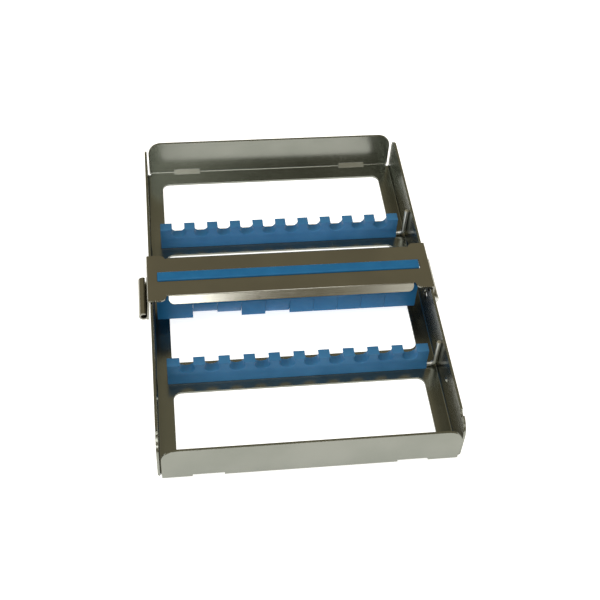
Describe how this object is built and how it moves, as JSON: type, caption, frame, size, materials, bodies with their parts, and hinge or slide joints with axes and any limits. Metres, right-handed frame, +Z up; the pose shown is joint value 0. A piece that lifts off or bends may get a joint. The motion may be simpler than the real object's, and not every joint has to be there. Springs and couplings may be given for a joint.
{
  "type": "instrument tray",
  "caption": "Low folded steel instrument tray with open base, silicone racks for hand instruments and a hinged hold-down bar with silicone fingers.",
  "frame": {"origin": "middle of the tray's underside, on the plane it rests on", "axes": "+X across the tray towards the hinge, +Y from front to back along its length, +Z up"},
  "size_m": [0.135, 0.18, 0.0219],
  "materials": {
    "tray_steel": "satin",
    "bar_steel": "satin",
    "wire_steel": "polished",
    "silicone": "matte"
  },
  "bodies": {
    "tray": {"tray_frame": "tray_steel", "rear_rack_rail": "wire_steel", "front_rack_rail": "wire_steel", "rear_rack": "silicone", "front_rack": "silicone", "hinge_pin": "wire_steel"},
    "bar": {"lock_bar": "bar_steel", "hold_down_strip": "silicone"}
  },
  "joints": [
    {"name": "lock_bar_hinge", "type": "hinge", "parent": "tray", "child": "bar", "pos_m": [0.06505, 0, 0.0102], "axis": [0, 1, 0], "range_deg": [0, 160]}
  ]
}
